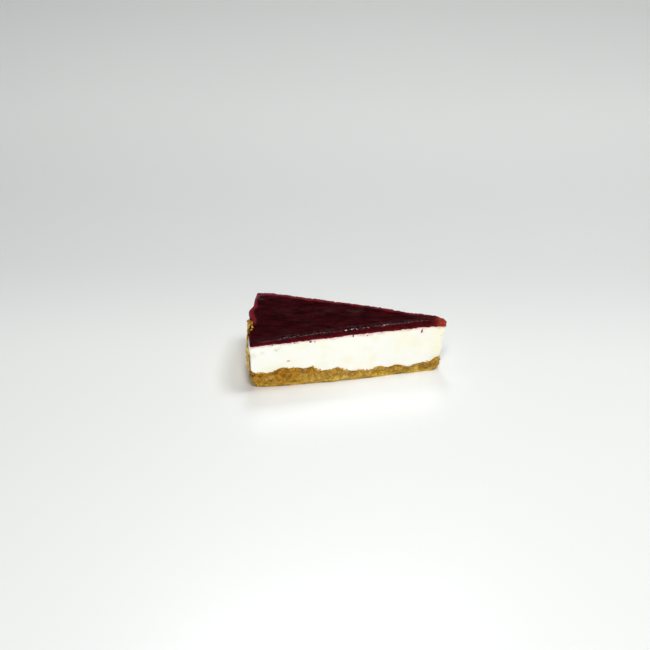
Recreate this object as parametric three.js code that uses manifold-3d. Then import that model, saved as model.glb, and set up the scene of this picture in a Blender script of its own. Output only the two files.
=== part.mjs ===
// A slice of chilled cheesecake as it is served: one twelfth of a round 24 cm cake.
// It has three layers: a crumb crust whose thin rim climbs the outside, a cream cheese filling, and a set
// layer of dark fruit jelly. Millimetres, +Z up. The slice stands on z = 0 with its pointed end towards +X.
// The cut that faces -Y is the front cut, and the cake's centre lies just past the blunt tip.

import * as THREE from 'three';
import { mergeVertices } from 'three/addons/utils/BufferGeometryUtils.js';
import Module from 'manifold-3d';

const wasm = await Module();
wasm.setup();

// Driving dimensions of the cake and its layers
const crustRadius = 119.4;
const halfAngle = THREE.MathUtils.degToRad(14.8);
const layerGap = 0.3;
const cornerRadius = 0.8;
const bedAtTip = 5.3;
const bedGain = 7.0;
const bedAtRim = bedAtTip + bedGain;
const fillingLevel = 29.9;
const jellyAtTip = 4.8;
const thinningAtFront = 2.4;
const thinningAtBack = 1.5;
const filletRadius = 3.5;
const thinnestRim = 0.8;
const rimInsideJelly = 0.9;

// The crust's foot: drawn in all round the rim, and crumbled away along both cuts, only beyond wearStart
// from the cake's centre and in full after another wearLength
const footUndercut = 4.8;
const footHeight = 12;
const frontWear = 4.6;
const backWear = 1.5;
const wearDepth = 7;
const wearStart = 60;
const wearLength = 55;

// Humps and hollows of the crumb bed where it meets the front cut: distance from the cake's centre, rise and
// half width
const frontHumps = [
  [110, 0.8, 5], [101, 3.9, 4.6], [91, 4.0, 7], [82.5, 3.3, 3.3], [75, 1.5, 3], [67.8, 3.0, 3.6],
  [50, -0.5, 3], [42, 1.5, 2.6], [32.3, 1.0, 3], [24.8, -0.9, 2], [16, 0.8, 3], [8, 3.7, 3.5],
];
const humpDepth = 9;
const tipCurl = 2.6;
const tipCurlWidth = 11;

// How the outside runs round the rim, by the share of the way from the front cut (0) to the back cut (1):
// the height of the rim's broken crest, how far the jelly's edge stays inside the crust's radius, and how
// far the rim leans in
const crestHeights = [
  [0, 25], [0.09, 26.5], [0.14, 28.5], [0.19, 31.8], [0.27, 32.6], [0.35, 33.5], [0.43, 33.2],
  [0.49, 31.2], [0.57, 27], [0.68, 22.5], [0.82, 20.5], [0.93, 23.5], [1, 22],
];
const jellyInset = [
  [0, 1.0], [0.1, 1.6], [0.17, 1.9], [0.26, 3.4], [0.36, 5.3], [0.43, 4.4], [0.51, 2.6], [0.62, 1.6],
  [0.73, 2.9], [0.82, 2.4], [0.92, 1.3], [1, 0.9],
];
const rimLean = [[0.1, 0], [0.25, 1.2], [0.6, 1.6], [0.8, 0.5], [1, 0]];
const leanStart = 14;
const leanHeight = 12;

// How far the blunt tip stands from the cake's centre, by height: the crust is worn back and the filling
// overhangs it
const crustTip = [[0, 8.0], [1.5, 6.6], [4, 5.7], [9, 5.0]];
const fillingTip = [[8, 6.0], [11, 5.2], [14, 4.5], [19, 4.4], [23, 4.2], [24.6, 2.9], [30, 2.7]];
const jellyTip = 2.5;

// Where the set layers have sagged, as depth and width: the filling at the tip, the jelly at the tip and at
// the back corner
const fillingSag = [1.2, 14];
const jellyTipSlump = [0.9, 3];
const jellyCornerSlump = [1.0, 6];

// The back cut strays out beyond strayStart from the cake's centre, and in round the middle of strayIn,
// which is distance, depth, width
const strayOut = 0.9;
const strayStart = 80;
const strayLength = 35;
const strayIn = [30, 1.2, 16];

// Sampling of the outline and of each layer's section. The caps close on a spine that runs from spineTip, or
// jellySpineTip, to spineRim from the cake's centre.
const cutSteps = 40;
const arcSteps = 26;
const tipSteps = 3;
const rimSteps = [0.3, 0.9, 1.6, 2.6, 4.2];
const spineTip = 13;
const jellySpineTip = 8;
const spineRim = crustRadius - 20;
const spineStart = 0.86;
const mostInward = 0.45;
const middleHeight = 20;
const mouldMargin = 4;

const materials = {
  crust: new THREE.MeshStandardMaterial({ color: 0xb58a3f, roughness: 0.9, metalness: 0 }),
  filling: new THREE.MeshStandardMaterial({ color: 0xfbf7e6, roughness: 0.55, metalness: 0 }),
  jelly: new THREE.MeshStandardMaterial({ color: 0x3d0a10, roughness: 0.28, metalness: 0 }),
};

const { clamp, lerp } = THREE.MathUtils;
const smooth = (t) => t * t * (3 - 2 * t);
const hill = (distance, width) => Math.exp(-((distance / width) ** 2));

// Value at t of a short table of [place, value] pairs, eased from each pair to the next
function along(table, t) {
  if (t <= table[0][0]) return table[0][1];
  for (let k = 1; k < table.length; k += 1) {
    const [from, low] = table[k - 1];
    const [to, high] = table[k];
    if (t <= to) return lerp(low, high, smooth((t - from) / (to - from)));
  }
  return table[table.length - 1][1];
}

// Repeatable random value from 0 to 1 at a point of the whole-number lattice
function lattice(i, j, k) {
  const s = Math.sin(i * 127.1 + j * 311.7 + k * 74.7) * 43758.5453;
  return s - Math.floor(s);
}

// Smooth noise from -1 to 1: lattice values blended over the cell that holds the point
function noise(x, y, z) {
  const [i, j, k] = [x, y, z].map(Math.floor);
  const [u, v, w] = [x - i, y - j, z - k].map(smooth);
  const row = (b, c) => lerp(lattice(i, j + b, k + c), lattice(i + 1, j + b, k + c), u);
  const face = (c) => lerp(row(0, c), row(1, c), v);
  return 2 * lerp(face(0), face(1), w) - 1;
}

// Polar place of a point: distance from the cake's centre, share of the way round from the front cut, and
// the distances to the front and back cuts
function polar(x, y) {
  const reach = Math.hypot(x, y);
  const turn = Math.atan2(y, -x);
  return {
    reach,
    share: clamp((turn + halfAngle) / (2 * halfAngle), 0, 1),
    fromFront: reach * Math.sin(turn + halfAngle),
    fromBack: reach * Math.sin(halfAngle - turn),
  };
}

// Top of the crumb bed: thicker towards the rim, humped along the front cut, uneven everywhere
function bedHeight(x, y) {
  const { reach, fromFront } = polar(x, y);
  const trend = bedAtTip + bedGain * (reach / crustRadius) ** 2;
  const nearFront = hill(fromFront, humpDepth);
  const humps = frontHumps.reduce((sum, [at, rise, width]) => sum + rise * hill(reach - at, width), 0);
  const roughness = 1.7 * noise(x / 8.5, y / 8.5, 3.3) + 0.9 * noise(x / 3.7, y / 3.7, 7.7);
  const curl = tipCurl * hill(reach, tipCurlWidth) * (1 - nearFront);
  return trend + humps * nearFront + curl + roughness * (1 - 0.75 * nearFront);
}

// Rim's thickness: it fills the space outside the jelly's edge, and is never thinner than a skin of crumbs
function rimThickness(share) {
  return Math.max(thinnestRim + along(rimLean, share), along(jellyInset, share) - rimInsideJelly);
}

// Quarter-round fillet between bed and rim: its height at a distance from the rim's inner face
function fillet(distance) {
  const inside = filletRadius - clamp(distance, 0, filletRadius);
  return filletRadius - Math.sqrt(filletRadius ** 2 - inside ** 2);
}

// Top of the crust: the bed, swept up into the rim, whose crest is broken off at an uneven height
function crustTop(x, y) {
  const { reach, share } = polar(x, y);
  const bed = bedHeight(x, y);
  const fromRim = crustRadius - rimThickness(share) - reach;
  if (fromRim > 0) return bed + fillet(fromRim);
  return along(crestHeights, share) + 0.8 * noise(x / 2.2, y / 2.2, 1.9);
}

// Top of the filling: level, a little lower at the tip
function fillingTop(x, y) {
  const [sag, width] = fillingSag;
  return fillingLevel - sag * hill(Math.hypot(x, y), width) + 0.22 * noise(x / 14, y / 14, 5.1);
}

// Top of the jelly: thinner towards the rim, most of all by the front cut, gently dimpled, and sagging at
// the tip and at the back corner
function jellyTop(x, y) {
  const { reach, share } = polar(x, y);
  const thinning = lerp(thinningAtFront, thinningAtBack, share) * (reach / crustRadius) ** 3;
  const dimples = 0.25 * noise(x / 11, y / 11, 9.2) + 0.12 * noise(x / 4, y / 4, 2.4);
  const fromCorner = Math.hypot(crustRadius - reach, (1 - share) * 2 * halfAngle * crustRadius);
  const [tipDepth, tipWidth] = jellyTipSlump;
  const [cornerDepth, cornerWidth] = jellyCornerSlump;
  const slump = tipDepth * hill(reach - jellyTip, tipWidth) + cornerDepth * hill(fromCorner, cornerWidth);
  return fillingTop(x, y) + jellyAtTip - thinning + dimples - slump;
}

// Places on the outline, anticlockwise from above: front cut towards the tip, tip, back cut, back corner,
// rim, front corner. Each place has its piece of the outline and how far along that piece it is.
function outlinePlaces() {
  const places = [];
  rimSteps.forEach((step) => places.push({ piece: 'front', step, t: 0 }));
  for (let k = 1; k <= cutSteps; k += 1) places.push({ piece: 'front', step: 0, t: k / cutSteps });
  for (let k = 1; k < tipSteps; k += 1) places.push({ piece: 'tip', t: k / tipSteps });
  for (let k = cutSteps; k >= 1; k -= 1) places.push({ piece: 'back', step: 0, t: k / cutSteps });
  [...rimSteps].reverse().forEach((step) => places.push({ piece: 'back', step, t: 0 }));
  [0, 0.5].forEach((t) => places.push({ piece: 'backCorner', t }));
  for (let k = 0; k <= arcSteps; k += 1) places.push({ piece: 'rim', t: k / arcSteps });
  [0.5, 1].forEach((t) => places.push({ piece: 'frontCorner', t }));
  return places;
}

// Point and outward direction of an outline place, for a sector of a given radius whose tip is rounded off
// at a given distance from the cake's centre. A circle of radius r touches both cuts where its centre is
// r / sin(half angle) from the cake's centre.
function outlinePoint(place, radius, tipReach) {
  const tipCentre = tipReach / (1 - Math.sin(halfAngle));
  const tipRadius = tipCentre - tipReach;
  const cornerTurn = Math.asin(cornerRadius / (radius - cornerRadius));
  const cornerReach = (radius - cornerRadius) * Math.cos(cornerTurn);
  const cutStart = cornerReach - rimSteps[rimSteps.length - 1];
  const cutEnd = tipCentre * Math.cos(halfAngle);
  const around = (x, y, r, angle) => ({
    x: x + r * Math.cos(angle), y: y + r * Math.sin(angle), nx: Math.cos(angle), ny: Math.sin(angle),
  });
  const side = place.piece.startsWith('front') ? -1 : 1;
  const cutNormal = side * (Math.PI / 2 - halfAngle);
  if (place.piece === 'front' || place.piece === 'back') {
    const reach = place.step > 0 ? cornerReach - place.step : lerp(cutStart, cutEnd, place.t);
    return {
      x: -reach * Math.cos(halfAngle), y: side * reach * Math.sin(halfAngle),
      nx: Math.cos(cutNormal), ny: Math.sin(cutNormal),
    };
  }
  if (place.piece === 'tip') {
    return around(-tipCentre, 0, tipRadius, lerp(-1, 1, place.t) * (Math.PI / 2 - halfAngle));
  }
  if (place.piece === 'rim') {
    return around(0, 0, radius, Math.PI + lerp(-1, 1, place.t) * (halfAngle - cornerTurn));
  }
  const radial = Math.PI + (side < 0 ? 1 : -1) * (halfAngle - cornerTurn);
  const [x, y] = [Math.cos(radial), Math.sin(radial)].map((c) => c * (radius - cornerRadius));
  const [from, to] = side < 0 ? [radial, cutNormal + 2 * Math.PI] : [cutNormal, radial];
  return around(x, y, cornerRadius, lerp(from, to, place.t));
}

// The cuts aren't dead flat: slow waves that all the layers share, and a back cut that strays in near the
// tip and out towards the rim
function cutRelief(point, z) {
  const { reach } = polar(point.x, point.y);
  const wave = 0.3 * noise(point.x / 22, point.y / 22 + 4, z / 26);
  const [middle, depth, width] = strayIn;
  const outwards = strayOut * smooth(clamp((reach - strayStart) / strayLength, 0, 1));
  return wave + (outwards - depth * hill(reach - middle, width)) * clamp(point.ny, 0, 1);
}

// Share of the way along the spine that a place of the outline looks to: 0 at the tip, 1 near the rim
function spineShare(place) {
  if (place.piece === 'tip') return 0;
  if (place.piece !== 'front' && place.piece !== 'back') return 1;
  return clamp((1 - place.t) / spineStart, 0, 1);
}

// A closed layer. Rings run round the outline: first across the underside from the spine outwards, then up
// the side by the section's [inset, level] pairs, then over the top and in to the spine again. An inset eases
// off where the layer is narrow. The top's own height is upper, or cover where something lies over it.
function layerGeometry({
  lower, upper, cover = upper, radiusAt, tipAt, section, underside, topside, relief, innermost = spineTip,
}) {
  const places = outlinePlaces();
  const spine = places.map((place) => new THREE.Vector2(-lerp(innermost, spineRim, spineShare(place)), 0));
  const sideRing = ([inset, level]) => places.map((place, i) => {
    const rough = outlinePoint(place, radiusAt(middleHeight, place), tipAt(middleHeight));
    const z = lerp(lower(rough.x, rough.y), upper(rough.x, rough.y), level);
    const point = outlinePoint(place, radiusAt(z, place), tipAt(z));
    const out = cutRelief(point, z) + relief(point, z);
    const straight = inset / Math.hypot(point.x - spine[i].x, point.y);
    const inward = (straight * mostInward) / Math.hypot(straight, mostInward);
    const x = lerp(point.x + out * point.nx, spine[i].x, inward);
    const y = lerp(point.y + out * point.ny, 0, inward);
    if (level === 0) return new THREE.Vector3(x, y, lower(x, y));
    if (level === 1) return new THREE.Vector3(x, y, cover(x, y));
    return new THREE.Vector3(x, y, z);
  });
  const capRing = (edge, share, height) => edge.map((point, i) => {
    const [x, y] = [lerp(point.x, spine[i].x, share), lerp(point.y, spine[i].y, share)];
    return new THREE.Vector3(x, y, height(x, y));
  });
  const sides = section.map(sideRing);
  const rings = [
    ...underside.map((share) => capRing(sides[0], share, lower)),
    ...sides,
    ...topside.map((share) => capRing(sides[sides.length - 1], share, cover)),
  ];
  const positions = rings.flat().flatMap((p) => [p.x, p.y, p.z]);
  const index = [];
  const count = places.length;
  for (let r = 0; r + 1 < rings.length; r += 1) {
    for (let i = 0; i < count; i += 1) {
      const [a, b] = [r * count + i, r * count + ((i + 1) % count)];
      index.push(a, b, b + count, a, b + count, a + count);
    }
  }
  return closed(positions, index);
}

// Geometry with equal vertices merged and the flat triangles that this leaves on the spine dropped
function closed(positions, index) {
  const raw = new THREE.BufferGeometry();
  raw.setAttribute('position', new THREE.Float32BufferAttribute(positions, 3));
  raw.setIndex(index);
  const merged = mergeVertices(raw, 1e-3);
  const corners = merged.getIndex().array;
  const kept = [];
  for (let k = 0; k < corners.length; k += 3) {
    const [a, b, c] = corners.slice(k, k + 3);
    if (a !== b && b !== c && c !== a) kept.push(a, b, c);
  }
  merged.setIndex(kept);
  return merged;
}

// What is left of a closed shape once another is cut out of it
function cutOut(geometry, tool) {
  const [kept, removed] = [geometry, tool].map((shape) => new wasm.Manifold(new wasm.Mesh({
    numProp: 3,
    vertProperties: shape.getAttribute('position').array,
    triVerts: new Uint32Array(shape.getIndex().array),
  })));
  const rest = kept.subtract(removed).getMesh();
  const result = new THREE.BufferGeometry();
  result.setAttribute('position', new THREE.BufferAttribute(rest.vertProperties, 3));
  result.setIndex(new THREE.BufferAttribute(rest.triVerts, 1));
  return result;
}

// The crust's lower edges by the rim have crumbled away: points near a cut and near the foot move in from
// that cut
function wearFoot(geometry) {
  const position = geometry.getAttribute('position');
  for (let k = 0; k < position.count; k += 1) {
    const [x, y, z] = [position.getX(k), position.getY(k), position.getZ(k)];
    const { reach, fromFront, fromBack } = polar(x, y);
    const low = clamp((reach - wearStart) / wearLength, 0, 1) ** 2 * clamp(1 - z / footHeight, 0, 1) ** 1.5;
    const inFromFront = frontWear * low * Math.exp(-Math.max(fromFront, 0) / wearDepth);
    const inFromBack = backWear * low * Math.exp(-Math.max(fromBack, 0) / wearDepth);
    const alongX = (inFromFront + inFromBack) * Math.sin(halfAngle);
    position.setXYZ(k, x - alongX, y + (inFromFront - inFromBack) * Math.cos(halfAngle), z);
  }
  return geometry;
}

// Share of the way round the rim, from the front cut, of a place on the outline
function rimShare(place) {
  if (place.piece === 'rim') return 1 - place.t;
  return place.piece.startsWith('front') ? 0 : 1;
}

// Crumb crust: flat underneath, its foot drawn in under the rim, crumbly on every face. Above the bed, where
// the rim is thin, its crumbs only stand out. Grown by a gap, and carried out past every side, the crust is
// the mould that the filling is poured on.
function crumbBody(grown, sides) {
  const undercut = (z) => footUndercut * clamp(1 - z / footHeight, 0, 1) ** 1.4;
  const lean = (z, share) => along(rimLean, share) * smooth(clamp((z - leanStart) / leanHeight, 0, 1));
  const crumbs = ({ x, y }, z) => {
    const rough = 0.45 * noise(x / 2.8, y / 2.8, z / 2.8) + 0.4 * noise(x / 5.5, y / 5.5, z / 4 + 6);
    return Math.max(rough, lerp(-0.85, 0.1, smooth(clamp((z - bedAtRim - 1) / 3, 0, 1))));
  };
  const spread = ({ x, y, ny }) => Math.abs(ny) * hill(Math.hypot(x, y), 35);
  const outward = 1 + grown / crustRadius;
  return wearFoot(layerGeometry({
    lower: () => -grown,
    upper: crustTop,
    cover: (x, y) => crustTop(x * outward, y * outward) + grown,
    radiusAt: (z, place) => crustRadius - undercut(z) - lean(z, rimShare(place)),
    tipAt: (z) => along(crustTip, z),
    section: [...sides, [0.3, 1], [0.9, 1], [1.5, 1], [2.2, 1], [3.1, 1], [4.4, 1], [6, 1]],
    underside: [1, 0.5, 0.12],
    topside: [0.25, 0.5, 0.75, 1],
    relief: (point, z) => spread(point) + crumbs(point, z) * clamp(z / 2, 0, 1),
  }));
}

function crust() {
  return crumbBody(0, [[0.3, 0], [0, 0.06], [0, 0.16], [0, 0.3], [0, 0.48], [0, 0.7], [0, 0.88]]);
}

// Filling: poured on the crust, overhanging it at the tip
function filling() {
  const poured = layerGeometry({
    lower: (x, y) => bedHeight(x, y) - 1.2,
    upper: fillingTop,
    radiusAt: (z, place) => crustRadius - layerGap - rimThickness(rimShare(place)) - fillet(z - bedAtRim),
    tipAt: (z) => along(fillingTip, z),
    section: [[0, 0], [0, 0.18], [0, 0.34], [0, 0.55], [0, 0.76], [0, 0.93], [0.3, 1], [1.5, 1]],
    underside: [1, 0.5],
    topside: [0.5, 1],
    relief: ({ x, y }, z) => 0.12 * noise(x / 9, y / 9, z / 6 + 2),
  });
  return cutOut(poured, crumbBody(layerGap, [[-mouldMargin, 0], [-mouldMargin, 1]]));
}

// Jelly: rounded along every edge, standing a little proud of the cuts and uneven round the rim
function jelly() {
  return layerGeometry({
    lower: (x, y) => fillingTop(x, y) + layerGap,
    upper: jellyTop,
    radiusAt: (z, place) => crustRadius - along(jellyInset, rimShare(place)),
    tipAt: () => jellyTip,
    section: [[0.5, 0], [0, 0.2], [0, 0.52], [0.45, 0.8], [1.1, 0.95], [2.2, 1]],
    underside: [1, 0.5],
    topside: [0.12, 0.28, 0.5, 0.75, 1],
    relief: ({ x, y }, z) => 0.25 + 0.3 * noise(x / 3.4, y / 3.4, z / 3),
    innermost: jellySpineTip,
  });
}

// The slice, moved so that the middle of its footprint is the origin
function slice() {
  const group = new THREE.Group();
  const layers = {
    crumb_crust: [crust, 'crust'],
    cheese_filling: [filling, 'filling'],
    fruit_jelly: [jelly, 'jelly'],
  };
  Object.entries(layers).forEach(([name, [shape, material]]) => {
    const mesh = new THREE.Mesh(shape(), materials[material]);
    mesh.name = name;
    group.add(mesh);
  });
  const box = new THREE.Box3().setFromObject(group, true);
  const middle = box.getCenter(new THREE.Vector3());
  group.position.set(-middle.x, -middle.y, -box.min.z);
  return group;
}

export default slice();
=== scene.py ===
"""A slice of chilled cheesecake on a plain pale floor: crumb crust, cream cheese filling, dark fruit jelly.

Shapes are worked out in millimetres from the cake's centre, with the slice towards -X. They are then moved to
the frame's place and into metres.
"""

from itertools import product
from math import radians

import bmesh
import bpy
import numpy as np
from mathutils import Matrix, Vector


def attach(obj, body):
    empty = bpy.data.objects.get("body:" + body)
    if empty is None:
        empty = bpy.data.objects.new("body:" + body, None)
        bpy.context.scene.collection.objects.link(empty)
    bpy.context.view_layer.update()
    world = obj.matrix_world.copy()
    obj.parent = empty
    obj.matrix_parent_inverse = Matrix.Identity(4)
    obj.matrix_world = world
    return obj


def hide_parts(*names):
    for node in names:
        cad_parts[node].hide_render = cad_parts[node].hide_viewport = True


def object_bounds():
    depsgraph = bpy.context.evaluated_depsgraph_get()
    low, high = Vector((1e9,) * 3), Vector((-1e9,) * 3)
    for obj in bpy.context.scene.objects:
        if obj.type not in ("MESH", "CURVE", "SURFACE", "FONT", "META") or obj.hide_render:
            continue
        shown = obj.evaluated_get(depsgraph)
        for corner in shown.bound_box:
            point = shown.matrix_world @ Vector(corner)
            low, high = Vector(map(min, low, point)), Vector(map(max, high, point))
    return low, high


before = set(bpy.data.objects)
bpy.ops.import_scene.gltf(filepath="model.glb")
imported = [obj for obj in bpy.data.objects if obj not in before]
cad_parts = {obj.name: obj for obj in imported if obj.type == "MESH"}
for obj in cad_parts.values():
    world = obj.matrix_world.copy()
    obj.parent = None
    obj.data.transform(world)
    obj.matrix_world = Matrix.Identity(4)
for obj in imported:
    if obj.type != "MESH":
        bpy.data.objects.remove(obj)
cad_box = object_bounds()

# Where the cake's centre lies in the frame, in millimetres
CENTRE_X = 61.03
CENTRE_Y = -0.3

# A millimetre in metres
MM = 0.001

# The cake's radius, half the slice's angle, the radius of its outer corners, and the rim's rounded length
RADIUS = 119.4
HALF = radians(14.8)
CORNER = 0.8
RIM_LENGTH = 60

# Heights of the layers, with the bed's curl at the tip, and the jelly's slump there and at the back corner
BED_AT_TIP = 5.3
BED_GAIN = 7.0
BED_AT_RIM = BED_AT_TIP + BED_GAIN
TIP_CURL = 2.6
TIP_CURL_REACH = 11
FILLING_LEVEL = 29.9
JELLY_AT_TIP = 4.8
JELLY_THINNING = 2.4
TIP_SLUMP = 0.9
BACK_CORNER_SLUMP = 1.0

# The crust's foot is drawn in under the rim, and its lower edge has crumbled away along both cuts
FOOT_UNDERCUT = 4.8
FOOT_HEIGHT = 12
FRONT_WEAR = 4.6
BACK_WEAR = 1.5
WEAR_DEPTH = 7

# The rim: the quarter round where it leaves the bed, its thickness, and where it starts to lean in
FILLET = 3.5
THINNEST_RIM = 0.8
RIM_INSIDE_JELLY = 0.5
LEAN_START = 14
LEAN_HEIGHT = 12

# Humps and hollows of the crumb bed where it meets the front cut: distance from the centre, rise, half width
FRONT_HUMPS = (
    (110, 0.8, 5), (101, 3.9, 4.6), (91, 4.0, 7), (82.5, 3.3, 3.3), (75, 1.5, 3), (67.8, 3.0, 3.6),
    (50, -0.5, 3), (42, 1.5, 2.6), (32.3, 1.0, 3), (24.8, -0.9, 2), (16, 0.8, 3), (8, 3.7, 3.5),
)

# How far behind the front cut they fade out
HUMP_DEPTH = 9

# Round the rim, by the share of the way from the front cut to the back cut: height of the broken crest, how
# far the jelly's edge stays inside the crust's radius, and how far the rim leans in
CREST = (
    (0, 25), (0.09, 26.5), (0.14, 28.5), (0.19, 31.8), (0.27, 32.6), (0.35, 33.5), (0.43, 33.2),
    (0.49, 31.2), (0.57, 27), (0.68, 22.5), (0.82, 20.5), (0.93, 23.5), (1, 22),
)
JELLY_INSET = (
    (0, 1.0), (0.1, 1.6), (0.17, 1.9), (0.26, 3.4), (0.36, 5.3), (0.43, 4.4), (0.51, 2.6),
    (0.62, 1.6), (0.73, 2.9), (0.82, 2.4), (0.92, 1.3), (1, 0.9),
)
RIM_LEAN = ((0.1, 0), (0.25, 1.2), (0.6, 1.6), (0.8, 0.5), (1, 0))

# How far the blunt tip stands from the cake's centre, by height
CRUST_TIP = ((0, 8.0), (1.5, 6.6), (4, 5.7), (9, 5.0))
FILLING_TIP = ((8, 6.0), (11, 5.2), (14, 4.5), (19, 4.4), (23, 4.2), (24.6, 2.9), (30, 2.7))
JELLY_TIP = 2.5

# Crumb of the crust: size of a grain, how far it stands out, and the seed of its places
GRAIN_SIZES = ((4.2, 0.5, 11), (1.9, 0.4, 23), (0.85, 0.2, 37))

# Share of the grains that has fallen out
FALLEN_SHARE = 0.14

# Pits in the crust's front cut: distance from the centre, height, half width, half height, depth
PITS = (
    (117.3, 10.2, 1.4, 0.9, 0.7), (113.0, 8.6, 0.8, 1.6, 0.4), (106.5, 4.3, 1.2, 0.8, 0.5),
    (109.6, 2.4, 1.6, 0.6, 0.5), (99.0, 7.2, 1.0, 0.9, 0.4), (91.5, 10.0, 1.5, 0.7, 0.3),
    (62.8, 0.6, 3.0, 0.6, 0.6), (30.5, 5.6, 0.9, 0.9, 0.4),
)

# How many crumbs are scattered over the crust's sides, and stand in its upper edge on both cuts together
LOOSE_CRUMBS = 420
SEAM_CRUMBS = 110

# Crumbs on the rim: distance from the centre, share of the way round the rim, height, half size
RIM_CRUMBS = (
    (115.1, 0.3, 32.4, 1.0), (115.6, 0.26, 31.8, 0.9), (116.6, 0.22, 31.2, 0.8),
    (117.6, 0.19, 29.8, 0.8), (118.0, 0.14, 28.0, 0.8), (118.4, 0.07, 26.0, 0.5),
)

# Crumbs and jelly flecks on the front of the cream: distance from the centre, height, half width, half
# height, half depth, lean in radians
CREAM_CRUMBS = (
    (96.5, 18.0, 1.1, 0.55, 0.3, 0.15), (103.4, 26.2, 0.35, 0.25, 0.12, 0.6),
    (5.6, 22.8, 0.2, 0.45, 0.12, 0.0),
)
JELLY_FLECKS = (
    (17.4, 27.2, 0.6, 1.25, 0.3, 0.25), (58.3, 29.1, 0.6, 0.5, 0.3, 0.0),
    (50.0, 28.6, 0.4, 0.3, 0.25, 0.3), (83.4, 29.0, 0.8, 0.6, 0.35, 0.2),
    (80.9, 28.7, 0.35, 0.5, 0.25, 0.1), (93.0, 29.3, 0.3, 0.4, 0.2, 0.0),
)

# How many small flecks are scattered over both cuts together
SMALL_FLECKS = 70

# Faint smears on the front of the cream: distance from the centre, height, half width, half height, strength
STAINS = (
    (103.3, 26.2, 1.6, 0.8, 0.5), (101.5, 27.4, 1.2, 0.6, 0.35), (111.5, 25.3, 1.3, 0.9, 0.45),
    (116.6, 24.0, 1.6, 1.5, 0.4), (3.9, 23.0, 0.5, 0.5, 0.9),
)

# Rings round the foot of every layer and up the crust's side, the crust's rings under the foot by their share
# of the way to the spine, and the distance between neighbouring columns
FOOT_RINGS = 5
SIDE_RINGS = 52
SOLE_SHARES = (1, 0.6, 0.3, 0.12, 0.04)
PITCH = 0.34

# The spine, a line inside the slice that the caps close on: its two ends, and the share of each cut, from the
# tip, whose columns spread along it
SPINE_TIP = 13
SPINE_RIM = RADIUS - 20
SPINE_SPREAD = 0.86

# The share of the way to the spine that no inset reaches
MOST_INWARD = 0.45

# Height at which the plan of a layer is first taken, before its own height is known
PLAN_HEIGHT = 20.0


def mix(a, b, t):
    """The value a share t of the way from a to b."""
    return a + (b - a) * t


def ease(t):
    """A share from 0 to 1 that starts and ends level."""
    t = np.clip(t, 0, 1)
    return t * t * (3 - 2 * t)


def along(table, t):
    """Value at t of a short table of (place, value) pairs, eased from each pair to the next."""
    places = np.array([row[0] for row in table], float)
    values = np.array([row[1] for row in table], float)
    t = np.clip(t, places[0], places[-1])
    k = np.clip(np.searchsorted(places, t) - 1, 0, len(table) - 2)
    return mix(values[k], values[k + 1], ease((t - places[k]) / (places[k + 1] - places[k])))


def hill(distance, width):
    """A bell that is 1 where the distance is 0 and has fallen to about a third at the width."""
    return np.exp(-((distance / width) ** 2))


def lattice(i, j, k):
    """Repeatable random value from 0 to 1 at each point of the whole-number lattice."""
    s = np.sin(i * 127.1 + j * 311.7 + k * 74.7) * 43758.5453
    return s - np.floor(s)


def noise(x, y, z):
    """Smooth noise from -1 to 1: lattice values blended over the cell that holds each point."""
    x, y, z = np.broadcast_arrays(*(np.asarray(v, float) for v in (x, y, z)))
    i, j, k = np.floor(x), np.floor(y), np.floor(z)
    u, v, w = ease(x - i), ease(y - j), ease(z - k)
    total = 0
    for a, b, c in product((0, 1), repeat=3):
        weight = (u if a else 1 - u) * (v if b else 1 - v) * (w if c else 1 - w)
        total = total + weight * lattice(i + a, j + b, k + c)
    return 2 * total - 1


def grains(x, y, z, seed):
    """Packed grains: each point's distance to the two nearest grain middles, and the nearest's own value.

    The middles are the lattice's cell centres, each moved by up to 0.4 of a cell in a repeatable random way.
    """
    x, y, z = np.broadcast_arrays(*(np.asarray(v, float) for v in (x, y, z)))
    base = [np.floor(v) for v in (x, y, z)]
    first = np.full(x.shape, 9.0)
    second = np.full(x.shape, 9.0)
    own = np.zeros(x.shape)
    for step in product((-1, 0, 1), repeat=3):
        i, j, k = (b + s for b, s in zip(base, step))
        moved = [0.5 + 0.8 * (lattice(i + seed + n, j - n, k + 2 * n) - 0.5) for n in (1, 2, 3)]
        away = np.sqrt((x - i - moved[0]) ** 2 + (y - j - moved[1]) ** 2 + (z - k - moved[2]) ** 2)
        nearer = away < first
        second = np.where(nearer, first, np.minimum(second, away))
        own = np.where(nearer, lattice(i + seed, j, k), own)
        first = np.where(nearer, away, first)
    return first, second, own


def polar(x, y):
    """Distance from the cake's centre, share of the way round from the front cut, distances to both cuts."""
    reach = np.hypot(x, y)
    turn = np.arctan2(y, -x)
    share = np.clip((turn + HALF) / (2 * HALF), 0, 1)
    return reach, share, reach * np.sin(turn + HALF), reach * np.sin(HALF - turn)


def bed_height(x, y):
    """Top of the crumb bed.

    It rises to the rim with the square of the distance, has a bell for each hump along the front cut, curls
    up at the tip, and carries slow noise, which fades by the front cut, and the noise of single crumbs.
    """
    reach, _, from_front, _ = polar(x, y)
    near_front = hill(from_front, HUMP_DEPTH)
    humps = sum(rise * hill(reach - at, width) for at, rise, width in FRONT_HUMPS)
    roughness = 1.7 * noise(x / 8.5, y / 8.5, 3.3) + 0.9 * noise(x / 3.7, y / 3.7, 7.7)
    curl = TIP_CURL * hill(reach, TIP_CURL_REACH) * (1 - near_front)
    trend = BED_AT_TIP + BED_GAIN * (reach / RADIUS) ** 2
    crumbs = 0.32 * noise(x / 1.7, y / 1.7, 4.4) + 0.16 * noise(x / 0.8, y / 0.8, 8.8)
    return trend + humps * near_front + curl + roughness * (1 - 0.75 * near_front) + crumbs


def rim_thickness(share):
    """Thickness of the rim: it fills the space outside the jelly's edge and is never thinner than a skin."""
    return np.maximum(THINNEST_RIM + along(RIM_LEAN, share), along(JELLY_INSET, share) - RIM_INSIDE_JELLY)


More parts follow.
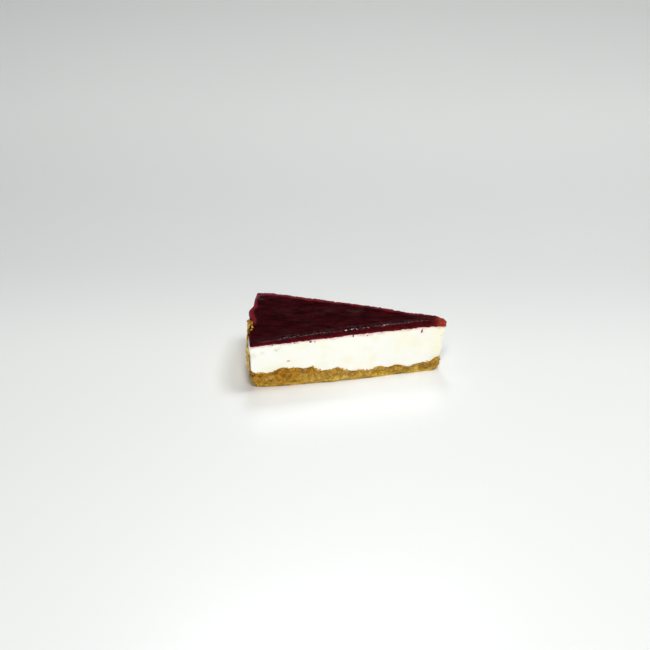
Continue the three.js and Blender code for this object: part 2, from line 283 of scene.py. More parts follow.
def fillet(distance):
    """Height of a quarter round at a distance from the wall that it runs into."""
    inside = FILLET - np.clip(distance, 0, FILLET)
    return FILLET - np.sqrt(FILLET**2 - inside**2)


def crust_top(x, y):
    """Top of the crust: the bed, swept up into the rim, whose crest is broken off at an uneven height."""
    reach, share, _, _ = polar(x, y)
    from_rim = RADIUS - rim_thickness(share) - reach
    crest = along(CREST, share) + 0.8 * noise(x / 2.2, y / 2.2, 1.9)
    return np.where(from_rim > 0, bed_height(x, y) + fillet(from_rim), crest)


def filling_top(x, y):
    """Top of the filling: level but for slow noise, and a little lower at the tip."""
    reach = np.hypot(x, y)
    return FILLING_LEVEL - 1.2 * hill(reach, 14) + 0.22 * noise(x / 14, y / 14, 5.1)


def jelly_top(x, y):
    """Top of the jelly: its thickness falls with the cube of the distance, most by the front cut."""
    reach, share, _, _ = polar(x, y)
    thickness = JELLY_AT_TIP - (JELLY_THINNING - 0.9 * share) * (reach / RADIUS) ** 3
    dimples = 0.25 * noise(x / 11, y / 11, 9.2) + 0.12 * noise(x / 4, y / 4, 2.4)
    from_back_corner = np.hypot(RADIUS - reach, (1 - share) * RIM_LENGTH)
    slumped = TIP_SLUMP * hill(reach - JELLY_TIP, 3) + BACK_CORNER_SLUMP * hill(from_back_corner, 6)
    return filling_top(x, y) + thickness + dimples - slumped


def outline_columns():
    """Columns round the slice, anticlockwise from above, starting with the front cut.

    Each column has its piece of the outline, the share of the way along it, its side, -1 front or 1 back, and
    its place on the spine, 0 at the tip and 1 at the rim.
    """
    cut = int(RADIUS / PITCH)
    rim = int(2 * HALF * RADIUS / PITCH)
    pieces = (
        ("cut", -1, cut), ("tip", 1, 10), ("cut", 1, cut),
        ("corner", 1, 4), ("rim", 1, rim), ("corner", -1, 4),
    )
    piece, side, share = [], [], []
    for name, which, count in pieces:
        steps = np.arange(count) / count
        piece += [name] * count
        side += [which] * count
        share.append(1 - steps if (name, which) == ("cut", 1) else steps)
    share = np.concatenate(share)
    piece = np.array(piece)
    spine = np.where(piece == "tip", 0.0, 1.0)
    spine = np.where(piece == "cut", np.clip((1 - share) / SPINE_SPREAD, 0, 1), spine)
    return {"piece": piece, "side": np.array(side, float), "share": share, "spine": spine}


def rim_share(columns):
    """Share of the way round the rim, from the front cut, that each column stands at."""
    return np.where(columns["piece"] == "rim", 1 - columns["share"], np.where(columns["side"] < 0, 0.0, 1.0))


def outline(columns, radius, tip_reach):
    """Points and outward directions of the slice's plan, for a rim radius and a reach of its tip.

    Both cuts are straight lines from the centre. The tip is an arc that touches both: a circle of radius r
    does so where its centre is r / sin(half angle) out. The rim is an arc about the centre, and the corners
    are small arcs.
    """
    piece, side, share = columns["piece"], columns["side"], columns["share"]
    tip_centre = tip_reach / (1 - np.sin(HALF))
    tip_radius = tip_centre - tip_reach
    corner_turn = np.arcsin(CORNER / (radius - CORNER))
    reach = mix((radius - CORNER) * np.cos(corner_turn), tip_centre * np.cos(HALF), share)
    cut_normal = side * (np.pi / 2 - HALF)
    tip_turn = mix(-1, 1, share) * (np.pi / 2 - HALF)
    rim_turn = np.pi + mix(-1, 1, share) * (HALF - corner_turn)
    radial = np.pi - side * (HALF - corner_turn)
    front_turn = mix(radial, cut_normal + 2 * np.pi, share)
    round_turn = np.where(side < 0, front_turn, mix(cut_normal, radial, share))
    on = [piece == "cut", piece == "tip", piece == "rim"]
    x = np.select(
        on,
        [-reach * np.cos(HALF), tip_radius * np.cos(tip_turn) - tip_centre, radius * np.cos(rim_turn)],
        (radius - CORNER) * np.cos(radial) + CORNER * np.cos(round_turn),
    )
    y = np.select(
        on,
        [side * reach * np.sin(HALF), tip_radius * np.sin(tip_turn), radius * np.sin(rim_turn)],
        (radius - CORNER) * np.sin(radial) + CORNER * np.sin(round_turn),
    )
    turn = np.select(on, [cut_normal, tip_turn, rim_turn], round_turn)
    return x, y, np.cos(turn), np.sin(turn)


def cut_relief(x, y, z, ny):
    """How far the cuts stray from flat: slow noise, and a back cut hollow by the tip and full by the rim."""
    reach = np.hypot(x, y)
    straying = 0.9 * ease((reach - 80) / 35) - 1.2 * hill(reach - 30, 16)
    return 0.3 * noise(x / 22, y / 22 + 4, z / 26) + straying * np.clip(ny, 0, 1)


def section(foot, shoulder, side_rings, top_insets, shoulder_rings=7):
    """Section of a layer as rows of inset, level and lift.

    It has a quarter round at the foot, the side, a quarter round at the top edge, and then flat top insets.
    Height is the level's share of the side, plus the lift.
    """
    a = np.linspace(0, np.pi / 2, FOOT_RINGS, endpoint=False)
    s = np.linspace(0, 1, side_rings, endpoint=False)
    b = np.linspace(0, np.pi / 2, shoulder_rings)
    beyond = np.array(top_insets, float)
    rows = [
        np.stack([foot * (1 - np.sin(a)), 0 * a, foot * (1 - np.cos(a))], 1),
        np.stack([0 * s, s, mix(foot, -shoulder, s)], 1),
        np.stack([shoulder * (1 - np.cos(b)), 1 + 0 * b, -shoulder * (1 - np.sin(b))], 1),
        np.stack([shoulder + beyond, 1 + 0 * beyond, 0 * beyond], 1),
    ]
    return np.concatenate(rows)


def layer(columns, lower, upper, radius_at, tip_at, relief, rows, underside, topside):
    """A closed layer as a grid of rings by columns.

    Each ring is the outline at its height, moved out by the relief and in towards the spine by its inset,
    which eases off where the layer is narrow. The underside's and topside's rings go on to the spine.
    """
    spine_x = -mix(SPINE_TIP, SPINE_RIM, columns["spine"])
    rough_x, rough_y, _, _ = outline(columns, radius_at(PLAN_HEIGHT), tip_at(PLAN_HEIGHT))

    def side_point(z, inset):
        x, y, nx, ny = outline(columns, radius_at(z), tip_at(z))
        out = cut_relief(x, y, z, ny) + relief(x, y, z, ny)
        straight = inset / np.hypot(x - spine_x, y)
        inward = straight * MOST_INWARD / np.hypot(straight, MOST_INWARD)
        return mix(x + out * nx, spine_x, inward), mix(y + out * ny, 0, inward)

    low = lower(rough_x, rough_y)
    edge_x, edge_y = side_point(upper(rough_x, rough_y), 0)
    high = upper(edge_x, edge_y)
    inset, level, lift = (rows[:, n][:, None] for n in range(3))
    z = mix(low, high, level) + lift
    x, y = side_point(z, inset)
    z = np.where(level == 0, lower(x, y) + lift, np.where(level == 1, upper(x, y) + lift, z))

    def cap(ring, shares, height):
        shares = np.array(shares)[:, None]
        cap_x = mix(x[ring], spine_x, shares)
        cap_y = mix(y[ring], 0, shares)
        return cap_x, cap_y, height(cap_x, cap_y)

    parts = (cap(0, underside, lower), (x, y, z), cap(-1, topside, upper))
    return np.stack([np.concatenate([part[n] for part in parts]) for n in range(3)], 2)


def normals(grid):
    """Outward direction at each point of a grid of rings by columns, from its neighbours' differences."""
    across = np.roll(grid, -1, 1) - np.roll(grid, 1, 1)
    up = np.gradient(grid, axis=0)
    cross = np.cross(across, up)
    return cross / np.maximum(np.linalg.norm(cross, axis=2, keepdims=True), 1e-9)


def ring_faces(rings, count, start=0):
    """Four-cornered faces between neighbouring rings that each close on themselves."""
    ring, column = np.meshgrid(np.arange(rings - 1), np.arange(count), indexing="ij")
    here = start + ring * count + column
    beside = start + ring * count + (column + 1) % count
    return np.stack([here, beside, beside + count, here + count], -1).reshape(-1, 4)


def to_frame(points):
    """Points in millimetres from the cake's centre, as metres in the frame, kept inside the solids' box."""
    return np.clip((points + np.array([CENTRE_X, CENTRE_Y, 0])) * MM, *cad_box)


def mesh_object(name, points, faces, material, attributes=None):
    """A smooth mesh of four-cornered faces. Points that coincide become one, and faces without area go."""
    mesh = bpy.data.meshes.new(name)
    mesh.vertices.add(len(points))
    mesh.vertices.foreach_set("co", points.astype(np.float32).ravel())
    mesh.loops.add(faces.size)
    mesh.loops.foreach_set("vertex_index", faces.astype(np.int32).ravel())
    mesh.polygons.add(len(faces))
    mesh.polygons.foreach_set("loop_start", np.arange(0, faces.size, 4, dtype=np.int32))
    mesh.update(calc_edges=True)
    for label, values in (attributes or {}).items():
        attribute = mesh.attributes.new(label, "FLOAT", "POINT")
        attribute.data.foreach_set("value", values.astype(np.float32).ravel())
    work = bmesh.new()
    work.from_mesh(mesh)
    bmesh.ops.remove_doubles(work, verts=work.verts, dist=1e-6)
    work.to_mesh(mesh)
    work.free()
    mesh.polygons.foreach_set("use_smooth", np.ones(len(mesh.polygons), bool))
    mesh.materials.append(material)
    mesh.update()
    made = bpy.data.objects.new(name, mesh)
    bpy.context.scene.collection.objects.link(made)
    return made


class Wire:
    """An output socket of a material's nodes. Arithmetic on wires and numbers adds Math nodes."""

    def __init__(self, tree, socket):
        self.tree = tree
        self.socket = socket

    def node(self, kind, settings=None, inputs=None, output=0):
        """Adds a node of a kind, makes its settings, then fills its sockets with numbers or wires."""
        made = self.tree.nodes.new(kind)
        for name, value in (settings or {}).items():
            setattr(made, name, value)
        for key, value in (inputs or {}).items():
            if isinstance(value, Wire):
                self.tree.links.new(value.socket, made.inputs[key])
            else:
                made.inputs[key].default_value = value
        return Wire(self.tree, made.outputs[output])

    def math(self, operation, *values):
        return self.node("ShaderNodeMath", {"operation": operation}, dict(enumerate(values)))

    def __add__(self, other):
        return self.math("ADD", self, other)

    def __radd__(self, other):
        return self.math("ADD", other, self)

    def __sub__(self, other):
        return self.math("SUBTRACT", self, other)

    def __rsub__(self, other):
        return self.math("SUBTRACT", other, self)

    def __mul__(self, other):
        return self.math("MULTIPLY", self, other)

    def __rmul__(self, other):
        return self.math("MULTIPLY", other, self)

    def share(self, start, end):
        """0 where this is at start, 1 where it is at end, eased between."""
        inputs = {"Value": self, "From Min": start, "From Max": end}
        return self.node("ShaderNodeMapRange", {"interpolation_type": "SMOOTHSTEP"}, inputs)

    def attribute(self, label):
        """The mesh's own value of that name at each point."""
        return self.node("ShaderNodeAttribute", {"attribute_name": label}, output="Fac")

    def noise(self, size, detail=3.0, roughness=0.5, stretch=(1, 1, 1)):
        """Noise from 0 to 1 with features of about size millimetres, divided by the stretch on each axis."""
        scaled = self.node("ShaderNodeMapping", inputs={"Vector": self, "Scale": stretch})
        inputs = {"Vector": scaled, "Scale": 1 / (size * MM), "Detail": detail, "Roughness": roughness}
        return self.node("ShaderNodeTexNoise", inputs=inputs)

    def blend(self, a, b):
        """Colour a where this is 0 and colour b where it is 1."""
        return self.node("ShaderNodeMix", {"data_type": "RGBA"}, {0: self, 6: a, 7: b}, output=2)

    def bump(self, height, distance):
        """Normal of a surface that carries a height, in millimetres of distance for a height of 1."""
        return self.node("ShaderNodeBump", inputs={"Height": height, "Distance": distance * MM})


def rgb(red, green, blue):
    """Linear colour, with alpha 1, of a screen colour given as three numbers from 0 to 255."""
    screen = np.array([red, green, blue]) / 255
    linear = np.where(screen <= 0.04045, screen / 12.92, ((screen + 0.055) / 1.055) ** 2.4)
    return (*linear.tolist(), 1.0)


def new_material(name, constants):
    """A material, its shader, whose constant sockets are set, and a wire with the object's coordinates."""
    material = bpy.data.materials.new(name)
    material.use_nodes = True
    tree = material.node_tree
    shader = tree.nodes["Principled BSDF"]
    for key, value in constants.items():
        shader.inputs[key].default_value = value
    return material, shader, Wire(tree, tree.nodes.new("ShaderNodeTexCoord").outputs["Object"])


def connect(shader, **wires):
    """Links wires to a shader's sockets, whose names are given with underscores."""
    for key, wire in wires.items():
        wire.tree.links.new(wire.socket, shader.inputs[key.replace("_", " ")])


def crumb_material():
    """Buttery biscuit crumb, each grain a little different.

    It is golden towards the rim, a darker orange brown in uneven patches higher up, and paler in patches. It
    carries painted light, paler along the foot and on the rim's outer face, and painted shade, dark in its
    pits, in the gaps between grains and along the foot's lower edge.
    """
    material, shader, place = new_material("baked_crumb", {"Specular IOR Level": 0.15})
    labels = ("gap", "tint", "foot", "rim", "upper_orange", "golden")
    gap, tint, foot, rim, upper_orange, golden = (place.attribute(label) for label in labels)
    speckle = place.noise(0.9, 3, 0.6).share(0.3, 0.7)
    grain = tint * 0.55 + speckle * 0.3 + 0.08
    colour = grain.blend(rgb(164, 114, 12), rgb(240, 202, 98))
    colour = (golden * 0.6).blend(colour, rgb(210, 152, 4))
    colour = (upper_orange * 0.55).blend(colour, rgb(194, 130, 22))
    pale = place.noise(5, 3, 0.6).share(0.54, 0.68)
    colour = (pale * 0.4).blend(colour, rgb(236, 204, 130))
    # Painted light: paler along the foot, where its ledge would catch light from above
    colour = (foot * 0.55).blend(colour, rgb(238, 204, 90))
    # Painted light: a paler colour on the rim's outer face, in patches
    rim_painted_light_patches = place.noise(2.2, 3, 0.6).share(0.35, 0.6)
    colour = (rim * (0.35 + 0.7 * rim_painted_light_patches)).blend(colour, rgb(254, 234, 158))
    # Painted shade: dark brown in the pits, in the gaps between grains and along the foot's lower edge
    colour = (gap * (0.7 - 0.1 * rim)).blend(colour, rgb(86, 46, 2))
    connect(
        shader,
        Base_Color=colour,
        Roughness=0.95 - 0.25 * place.noise(2.5),
        Normal=place.bump(place.noise(0.5, 4, 0.6), 0.25),
    )
    return material


def cream_material():
    """Set cream cheese: nearly white, warmer in soft patches and by the tip, stained pink under the jelly."""
    constants = {
        "Subsurface Weight": 0.25,
        "Subsurface Radius": (1.0, 0.8, 0.55),
        "Subsurface Scale": 0.0025,
        "Specular IOR Level": 0.35,
    }
    material, shader, place = new_material("set_cream", constants)
    bleed, stain, warm = (place.attribute(label) for label in ("bleed", "stain", "warm"))
    patches = place.noise(9, 2).share(0.45, 0.7)
    colour = (patches * 0.4 + warm * 0.8).blend(rgb(252, 251, 240), rgb(249, 243, 208))
    colour = (bleed * 0.55).blend(colour, rgb(214, 130, 132))
    colour = (stain * 0.7).blend(colour, rgb(176, 142, 84))
    drag = place.noise(1.6, 3, 0.6, stretch=(1, 1, 0.25))
    connect(
        shader,
        Base_Color=colour,
        Roughness=0.42 + 0.2 * place.noise(3),
        Normal=place.bump(drag + 0.4 * place.noise(0.45, 2), 0.12),
    )
    return material


def jelly_material():
    """Set fruit jelly: almost black, wet in spots, and painted with light shining through it: red on thin
    sides, orange red at the tip, paler red along the back edge.
    """
    constants = {"Specular IOR Level": 0.02, "Coat Roughness": 0.12, "Coat IOR": 1.6}
    material, shader, place = new_material("dark_jelly", constants)
    thin, tip, wet, back_edge_painted_light = (place.attribute(label) for label in ("thin", "tip", "wet", "back_edge_painted_light"))
    mottle = place.noise(4, 4, 0.65, stretch=(0.5, 1.6, 1)).share(0.34, 0.66)
    colour = mottle.blend(rgb(28, 1, 4), rgb(54, 8, 12))
    # Painted light: red on the sides, most near the cream, where light would shine through the jelly
    colour = thin.blend(colour, rgb(108, 16, 26))
    # Painted light: paler red along the back edge, where light from behind would shine through and onto it
    colour = back_edge_painted_light.blend(colour, rgb(122, 32, 40))
    # Painted light: an orange red glow at the tip, where light would shine through
    colour = tip.blend(colour, rgb(160, 60, 44))
    roughness = 0.2 + 0.1 * place.noise(2.2, 3)
    drops = place.noise(1.4, 3, 0.6).share(0.42, 0.55)
    connect(
        shader,
        Base_Color=colour,
        Roughness=roughness,
        Coat_Weight=wet * (0.1 + 0.9 * drops),
        Normal=place.bump(place.noise(1.2, 2, 0.6), 0.1),
    )
    return material


def fleck_material():
    """Small smears and flecks of the jelly, thin enough to show red."""
    material, shader, place = new_material("jelly_smear", {"Specular IOR Level": 0.45, "IOR": 1.38})
    colour = place.noise(0.8, 2).share(0.3, 0.7).blend(rgb(112, 22, 28), rgb(160, 44, 42))
    connect(shader, Base_Color=colour, Roughness=0.25 + 0.2 * place.noise(1.2))
    return material


def floor_material():
    """Plain pale board with a soft gloss, and painted shade: a little greyer in a wide band behind the slice.
    """
    material, shader, place = new_material("pale_board", {"Roughness": 0.27})
    depth = place.node("ShaderNodeSeparateXYZ", inputs={"Vector": place}, output="Y")
    # Painted shade: a greyer wide band behind the slice
    painted_shade_band = depth.share(0.0, 0.14) * (1 - depth.share(0.2, 0.42))
    colour = place.noise(200, 0).blend(rgb(243, 245, 243), rgb(246, 248, 246))
    colour = painted_shade_band.blend(colour, rgb(231, 234, 232))
    connect(shader, Base_Color=colour)
    return material


def wear_foot(grid):
    """Moves points near a cut and near the foot in from that cut: the crust's lower edges have crumbled away.

    The move falls off exponentially with the distance from the cut, with the height, and towards the tip.
    """
    x, y, z = np.moveaxis(grid, 2, 0)
    reach, _, from_front, from_back = polar(x, y)
    low = np.clip((reach - 60) / 55, 0, 1) ** 2 * np.clip(1 - z / FOOT_HEIGHT, 0, 1) ** 1.5
    in_front = FRONT_WEAR * low * np.exp(-np.maximum(from_front, 0) / WEAR_DEPTH)
    in_back = BACK_WEAR * low * np.exp(-np.maximum(from_back, 0) / WEAR_DEPTH)
    moved_x = x - (in_front + in_back) * np.sin(HALF)
    moved_y = y + (in_front - in_back) * np.cos(HALF)
    return np.stack([moved_x, moved_y, z], 2)


def packed_crumb(x, y, z):
    """Relief of packed crumb, in millimetres, each point's share of a gap, which the crust paints as shade,
    and its grain's value.

    There are three sizes of grain with gaps between them, and some grains of each size have fallen out. The
    relief never goes outwards.
    """
    relief = 0
    depth = 0
    tint = 0
    for size, height, seed in GRAIN_SIZES:
        warp = 0.4 * noise(x / size, y / size, z / size + seed)
        first, second, own = grains(x / size + warp, y / size - warp, z / size + warp, seed)
        on_grain = ease((second - first) / 0.4)
        fallen = np.where(own < FALLEN_SHARE, 1.0, 0.0) * on_grain
        relief = relief + height * (on_grain - 1 - 0.9 * fallen)
        depth = depth + (1 - on_grain) * height * 0.6 + fallen * height
        tint = tint + own * height
    total = sum(height for _, height, _ in GRAIN_SIZES)
    return relief, np.clip(depth / (0.75 * total), 0, 1), tint / total


def crust_grid(columns):
    """The crust: a crumb bed and rim, drawn in and worn at the foot, with gaps and pits sunk into it."""
    share = rim_share(columns)

    def radius_at(z):
        undercut = FOOT_UNDERCUT * np.clip(1 - z / FOOT_HEIGHT, 0, 1) ** 1.4
        return RADIUS - undercut - along(RIM_LEAN, share) * ease((z - LEAN_START) / LEAN_HEIGHT)

    def relief(x, y, z, ny):
        full_by_tip = np.abs(ny) * hill(np.hypot(x, y), 35)
        crumbs = 0.45 * noise(x / 2.8, y / 2.8, z / 2.8) + 0.4 * noise(x / 5.5, y / 5.5, z / 4 + 6)
        crumbs = np.maximum(crumbs, mix(-0.85, 0.1, ease((z - BED_AT_RIM - 1) / 3)))
        ledge = 0.35 * hill(z - 2.2, 1.3) * (1 + noise(x / 6, y / 6, 3.7))
        gap = 1.4 * np.clip(noise(x / 7, y / 7, 1.1) + 0.1, 0, 1) * np.clip(1 - z / 1.2, 0, 1)
        return full_by_tip + crumbs * np.clip(z / 2, 0, 1) + ledge - gap

    top_insets = np.concatenate([np.arange(1, 17) * 0.28, 4.5 + np.arange(1, 5) * 0.6])
    rows = section(0.2, 0.5, SIDE_RINGS, top_insets)
    grid = layer(
        columns, lambda x, y: 0 * x, crust_top, radius_at, lambda z: along(CRUST_TIP, z), relief, rows,
        underside=SOLE_SHARES, topside=(0.25, 0.5, 0.75, 1),
    )
    grid = wear_foot(grid)
    x, y, z = np.moveaxis(grid, 2, 0)
    depth, gap, tint = packed_crumb(x, y, z)
    above_bed = ease((z - BED_AT_RIM) / 3)
    thickness = mix(1, np.clip(rim_thickness(share) / 2.4, 0.3, 1), above_bed)
    grounded = np.clip(z / 1.2, 0, 1)
    grid = grid + normals(grid) * (depth * grounded * thickness)[..., None]
    # Painted light: a paler band along the foot, where its ledge would catch light from above
    foot = ease((3.2 - z + 1.4 * noise(x / 5, y / 5, 2.2)) / 2.2) * ease(z / 1.1)
    reach, _, from_front, _ = polar(x, y)
    # Painted light on the rim's outer face: paler from about 7 mm up, less just under the crest
    rim_painted_light_band = (0.15 + 0.85 * ease((z - 7) / 8)) * (1 - 0.8 * ease((z - 28.5) / 2.5))
    rim = ease((reach - RADIUS + 5.5) / 3) * ease((from_front - 0.3) / 1.2) * rim_painted_light_band
    pits = sum(hill(reach - at, wide) * hill(z - high, tall) * deep for at, high, wide, tall, deep in PITS)
    pits = pits * ease(1.5 - from_front / 4)
    grid = grid - normals(grid) * pits[..., None]
    # Painted shade: the share of a gap between grains, less where the foot meets the floor, and the pits
    gap = np.clip(gap * grounded + 1.6 * pits, 0, 1)
    # Painted shadow along the foot's lower edge, under the undercut
    painted_foot_shadow = ease((1.2 - z) / 0.6) * np.clip(0.75 + noise(x / 6, y / 6, 8.1), 0, 1)
    # Darker orange brown in uneven patches from about 5.5 mm up
    upper_orange = ease(0.5 + (z - 5.5 + 3.4 * noise(x / 7, y / 7, z / 4 + 1.3)) / 4.5)
    golden = ease((reach - 70) / 45)
    labels = ("gap", "tint", "foot", "rim", "upper_orange", "golden")
    return grid, dict(zip(labels, (np.maximum(gap, painted_foot_shadow), tint, foot, rim, upper_orange, golden)))


def filling_grid(columns):
    """The filling: it overhangs the crust at the tip, and its foot dips a little into the crumb bed."""
    share = rim_share(columns)
    dip = 0.9

    def radius_at(z):
        return RADIUS - rim_thickness(share) - fillet(z - BED_AT_RIM)

    def relief(x, y, z, ny):
        waves = 0.12 * noise(x / 9, y / 9, z / 6 + 2) + 0.05 * noise(x / 2.4, y / 2.4, z / 7)
        return waves - 0.03 + 0.04 * noise(x / 1.3, y / 1.3, z / 1.5)

    rows = section(0.9, 0.3, 46, (0.5, 1.2, 2.2))
    grid = layer(
        columns, lambda x, y: bed_height(x, y) - dip, filling_top, radius_at,
        lambda z: along(FILLING_TIP, z), relief, rows, underside=(1, 0.5, 0.2), topside=(0.25, 0.6, 1),
    )
    x, y, z = np.moveaxis(grid, 2, 0)
    reach, _, from_front, _ = polar(x, y)
    below_jelly = filling_top(x, y) - z
    reach_down = 1.5 + 1.0 * noise(x / 2.2, y / 2.2, 4.1)
    bleed = ease(1.2 - below_jelly / reach_down) * (0.7 + 0.4 * noise(x / 0.9, y / 0.9, z / 0.9))
    on_front = np.clip(1 - from_front / 2, 0, 1)
    smears = sum(
        hill(reach - at, wide) * hill(z - high, tall) * dark for at, high, wide, tall, dark in STAINS
    )
    stain = smears * on_front * (0.6 + 0.8 * np.clip(noise(x / 0.8, y / 0.8, z / 0.8), 0, 1))
    warm = hill(reach - 26, 9) * hill(z - 22, 5) * 0.5 + hill(reach - 5, 7) * 0.7
    return grid, {"bleed": np.clip(bleed, 0, 1), "stain": np.clip(stain, 0, 1), "warm": warm}


def jelly_grid(columns):
    """The jelly: rounded along every edge, a little proud of the cuts, nubbly along its cut upper edges."""
    share = rim_share(columns)

    def radius_at(z):
        return RADIUS - along(JELLY_INSET, share) + 0 * z

    def relief(x, y, z, ny):
        return 0.25 + 0.3 * noise(x / 3.4, y / 3.4, z / 3)

    top_insets = np.concatenate([np.arange(1, 15) * 0.34, 4.9 + np.arange(1, 6) * 0.6])
    rows = section(0.45, 1.5, 16, top_insets, shoulder_rings=10)
    grid = layer(
        columns, lambda x, y: filling_top(x, y) - 0.25, jelly_top, radius_at, lambda z: JELLY_TIP + 0 * z,
        relief, rows, underside=(1, 0.5, 0.2), topside=np.linspace(0, 1, 34)[1:],
    )
    x, y, z = np.moveaxis(grid, 2, 0)
    reach, _, from_front, from_back = polar(x, y)
    outward = normals(grid)
    to_cut = np.minimum(from_front, from_back)
    edge = hill(to_cut - 1.2, 2.4) * (1 - hill(reach - RADIUS, 9))
    nubs = 0.28 * noise(x / 1.6, y / 1.6, z / 1.3) + 0.26 * noise(x / 0.9, y / 0.9, z / 0.8 + 3)
    pulp = 0.07 * noise(x / 5, y / 1.8, 6.5) + 0.035 * noise(x / 2.2, y / 1.0, 1.5)
    top = np.clip(outward[..., 2], 0, 1)
    grid = grid + outward * ((edge * nubs + pulp * top - 0.2)[..., None])
    side = ease((0.9 - top) / 0.6)
    # Painted light at the tip, where light would shine through the jelly
    tip = hill(np.maximum(reach - 3.2, 0), 5) * (0.8 + 0.6 * noise(x / 1.6, y / 1.6, z / 1.2))
    # Painted light on the sides, strongest near the cream, where light would shine through
    down = ease((FILLING_LEVEL + 2.2 - z) / 2.2)
    thin = np.clip(side * (0.2 + 0.8 * down) * (0.75 + 0.5 * noise(x / 1.1, y / 1.1, z / 1.1)), 0, 1)
    to_rim = (RADIUS - along(JELLY_INSET, share) - reach) * 1.3 + 3 * (1 - ease((share - 0.3) / 0.2))
    to_edge = np.minimum(from_back, to_rim)
    # Painted light along the back edge, where light from behind would shine through and onto the jelly
    back_edge_painted_light = ease((4.6 - to_edge + 1.3 * noise(x / 6, y / 6, 4.4)) / 2.6) * ease((from_front - 3) / 3)
    wet = edge * ease((top - 0.3) / 0.3) * ease((0.93 - top) / 0.1) * ease((from_back - 3) / 4) * 0.85
    back_edge_painted_light = back_edge_painted_light * (0.8 + 0.2 * noise(x, y, z)) * (1 - 0.6 * side)
    return grid, {"thin": thin, "tip": np.clip(tip, 0, 1), "wet": wet, "back_edge_painted_light": back_edge_painted_light}


def build_layer(name, grid_of, node, material):
    """Makes one layer's object, which stands for its node, and gives its grid."""
    grid, attributes = grid_of(outline_columns())
    rings, count = grid.shape[:2]
    made = mesh_object(name, to_frame(grid.reshape(-1, 3)), ring_faces(rings, count), material, attributes)
    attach(made, "root")
    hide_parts(node)
    return grid


def blobs(middles, axes, seed):
    """Small uneven lumps, one round each middle, as points, faces and each point's lump number.

    Each is a ball of rings by columns whose radius varies by noise, carried by the lump's own half axes.
    """
    rings, count = 7, 9
    turns = np.arange(count) * 2 * np.pi / count
    rise, turn = np.meshgrid(np.linspace(-np.pi / 2, np.pi / 2, rings), turns, indexing="ij")
    ball = np.stack([np.cos(rise) * np.cos(turn), np.cos(rise) * np.sin(turn), np.sin(rise)], -1)
    ball = ball.reshape(-1, 3)
    number = np.arange(len(middles))
    moved = [ball[None, :, n] * 1.7 + 7.3 * number[:, None] + seed + n for n in range(3)]
    lumps = ball[None] * (1 + 0.42 * noise(*moved))[..., None]
    points = middles[:, None, :] + np.einsum("kpi,kij->kpj", lumps, axes)
    faces = np.concatenate([ring_faces(rings, count, start) for start in number * rings * count])
    return points.reshape(-1, 3), faces, np.repeat(number, rings * count)


def on_cut(side, reach, height, width, tall, depth, lean):
    """Middles and half axes of lumps that lie on a cut, side -1 front or 1 back.

    They are placed by distance from the cake's centre and by height, and follow the layers' slow waves. The
    lean turns them in the plane of the cut.
    """
    inwards = np.array([np.cos(HALF), -side * np.sin(HALF), 0.0])
    outwards = np.array([np.sin(HALF), side * np.cos(HALF), 0.0])
    upwards = np.array([0.0, 0.0, 1.0])
    middles = -reach[:, None] * inwards + height[:, None] * upwards
    middles = middles + cut_relief(middles[:, 0], middles[:, 1], height, float(side))[:, None] * outwards
    c, s = np.cos(lean)[:, None], np.sin(lean)[:, None]
    sideways = (s * upwards + side * c * inwards) * width[:, None]
    rising = (c * upwards - side * s * inwards) * tall[:, None]
    return middles, np.stack([sideways, depth[:, None] * outwards, rising], 1)


def along_seam(rng, side, number):
    """Crumbs that stand up out of the crust's upper edge, half sunk in the cream of one cut."""
    reach = 7 + (RADIUS - 10) * rng.random(number)
    x, y = -reach * np.cos(HALF), side * reach * np.sin(HALF)
    size = 0.14 + 0.5 * rng.random(number) ** 2
    height = bed_height(x, y) + rng.normal(-0.3, 0.2, number)
    return on_cut(side, reach, height, size * 1.6, size, size * 0.6, rng.normal(0, 0.5, number))


def turned_axes(rng, sizes):
    """Half axes of given lengths, each lump's turned at random, and kept right-handed."""
    axes = np.linalg.qr(rng.normal(size=(len(sizes), 3, 3)))[0]
    axes = axes * np.sign(np.linalg.det(axes))[:, None, None]
    return axes * sizes[:, :, None]


def uneven_axes(rng, radius):
    """Half axes of lumps of given mean radii, each 0.7 to 1.3 times the radius."""
    return turned_axes(rng, radius[:, None] * (0.7 + 0.6 * rng.random((len(radius), 3))))


def on_crust(rng, grid):
    """Middles and half axes of crumbs scattered over the crust's sides, each sunk by 0.3 of its radius."""
    outward = normals(grid)
    ring, column = np.nonzero((np.abs(outward[..., 2]) < 0.8) & (grid[..., 2] > 0.9))
    outside = (ring > len(SOLE_SHARES)) & (ring < len(SOLE_SHARES) + FOOT_RINGS + SIDE_RINGS)
    picked = rng.choice(np.count_nonzero(outside), LOOSE_CRUMBS, replace=False)
    ring, column = ring[outside][picked], column[outside][picked]
    radius = 0.2 + 0.4 * rng.random(LOOSE_CRUMBS) ** 2
    middles = grid[ring, column] - outward[ring, column] * (radius * 0.3)[:, None]
    return middles, uneven_axes(rng, radius)


def on_rim(rng):
    """Middles and half axes of the crumbs on the rim."""
    reach, share, height, radius = np.array(RIM_CRUMBS).T
    turn = mix(-HALF, HALF, share)
    return np.stack([-reach * np.cos(turn), reach * np.sin(turn), height], -1), uneven_axes(rng, radius)


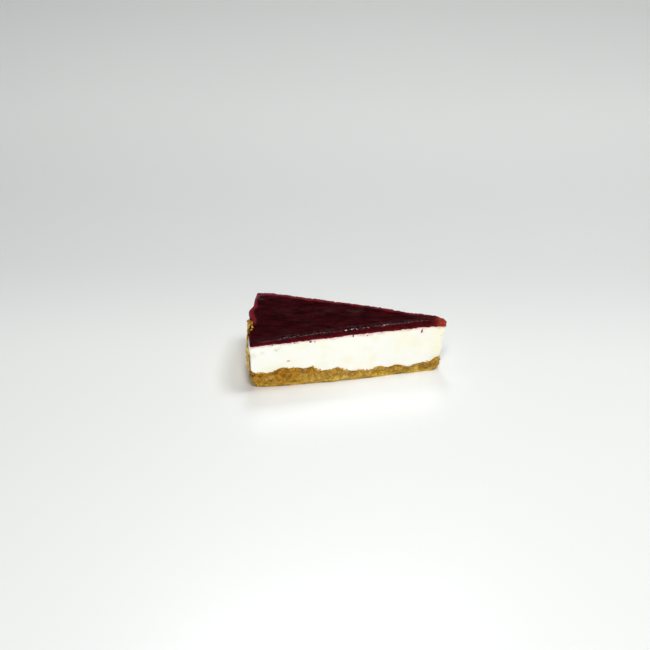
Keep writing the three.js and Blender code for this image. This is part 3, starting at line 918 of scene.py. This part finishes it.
def build_crumbs(grid, material):
    """Loose crumbs on the crust's sides, on the rim, on the cream, and in the crust's upper edge.

    Those on the rim are darker than the rest, and those on the cream lighter.
    """
    rng = np.random.default_rng(4)
    groups = (
        on_crust(rng, grid),
        on_rim(rng),
        on_cut(-1, *np.array(CREAM_CRUMBS).T),
        along_seam(rng, -1, SEAM_CRUMBS // 2),
        along_seam(rng, 1, SEAM_CRUMBS // 2),
    )
    middles, axes = (np.concatenate(part) for part in zip(*groups))
    points, faces, number = blobs(middles, axes, 2.0)
    group = np.repeat(np.arange(len(groups)), [len(places) for places, _ in groups])
    tint = 0.1 + 0.7 * rng.random(len(middles))
    tint = np.select([group == 1, group == 2], [0.5 * tint, 1.6], tint)
    made = mesh_object("loose_crumbs", to_frame(points), faces, material, {"tint": tint[number]})
    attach(made, "root")


def build_flecks(material):
    """Flecks of jelly that the knife has dragged down onto the cream of both cuts."""
    rng = np.random.default_rng(8)
    lumps = [on_cut(-1, *np.array(JELLY_FLECKS).T)]
    for side in (-1, 1):
        reach = 6 + (RADIUS - 10) * rng.random(SMALL_FLECKS // 2)
        height = FILLING_LEVEL + 0.1 - 1.3 * rng.random(len(reach)) ** 3
        size = 0.16 + 0.26 * rng.random(len(reach)) ** 2
        lean = rng.normal(0, 0.5, len(reach))
        lumps.append(on_cut(side, reach, height, size * 1.3, size, size * 0.5, lean))
    middles, axes = (np.concatenate(part) for part in zip(*lumps))
    points, faces, _ = blobs(middles, axes, 5.0)
    made = mesh_object("jelly_flecks", to_frame(points), faces, material)
    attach(made, "root")


def build_floor():
    """A level board much wider than the view."""
    corners = np.array([[-1, -1, 0], [1, -1, 0], [1, 1, 0], [-1, 1, 0]]) * 3.0
    floor = mesh_object("floor", corners, np.array([[0, 1, 2, 3]]), floor_material())


def area_light(name, place, size, power):
    """A square soft light that faces the slice and isn't itself seen."""
    light = bpy.data.lights.new(name, "AREA")
    light.size = size
    light.energy = power
    lamp = bpy.data.objects.new(name, light)
    lamp.location = place
    lamp.visible_camera = False
    lamp.rotation_euler = Vector(place).to_track_quat("Z", "Y").to_euler()
    bpy.context.scene.collection.objects.link(lamp)


def build_lights():
    """Soft lights high behind, on the right and in front, in a room pale at the horizon and dark above."""
    area_light("high_behind", (-0.03, 0.72, 1.15), 0.4, 4.4)
    area_light("high_right", (0.44, 0.02, 1.08), 0.35, 4.8)
    area_light("high_front", (0.02, -0.7, 0.96), 0.3, 7.0)
    world = bpy.data.worlds.new("dim_room")
    world.use_nodes = True
    tree = world.node_tree
    sky = Wire(tree, tree.nodes.new("ShaderNodeTexCoord").outputs["Generated"])
    height = sky.node("ShaderNodeSeparateXYZ", inputs={"Vector": sky}, output="Z")
    colour = height.share(0.1, 0.24).blend((2.6, 2.62, 2.64, 1), (0.015, 0.015, 0.017, 1))
    tree.links.new(colour.socket, tree.nodes["Background"].inputs["Color"])
    bpy.context.scene.world = world
    bpy.context.scene.view_settings.view_transform = "Standard"


def build_camera():
    """The photograph's view: 30 degrees down, along a line that passes just left of the slice's middle."""
    camera = bpy.data.cameras.new("camera")
    camera.lens = 85.29
    camera.sensor_width = 36
    stand = bpy.data.objects.new("camera", camera)
    stand.location = (0.01207, -0.77646, 0.47618)
    stand.rotation_euler = (radians(60), 0, radians(1.78))
    bpy.context.scene.collection.objects.link(stand)
    bpy.context.scene.camera = stand


crumb = crumb_material()
crust_points = build_layer("crust_baked", crust_grid, "crumb_crust", crumb)
build_layer("filling_set", filling_grid, "cheese_filling", cream_material())
build_layer("jelly_glazed", jelly_grid, "fruit_jelly", jelly_material())
build_crumbs(crust_points, crumb)
build_flecks(fleck_material())
build_floor()
build_lights()
build_camera()
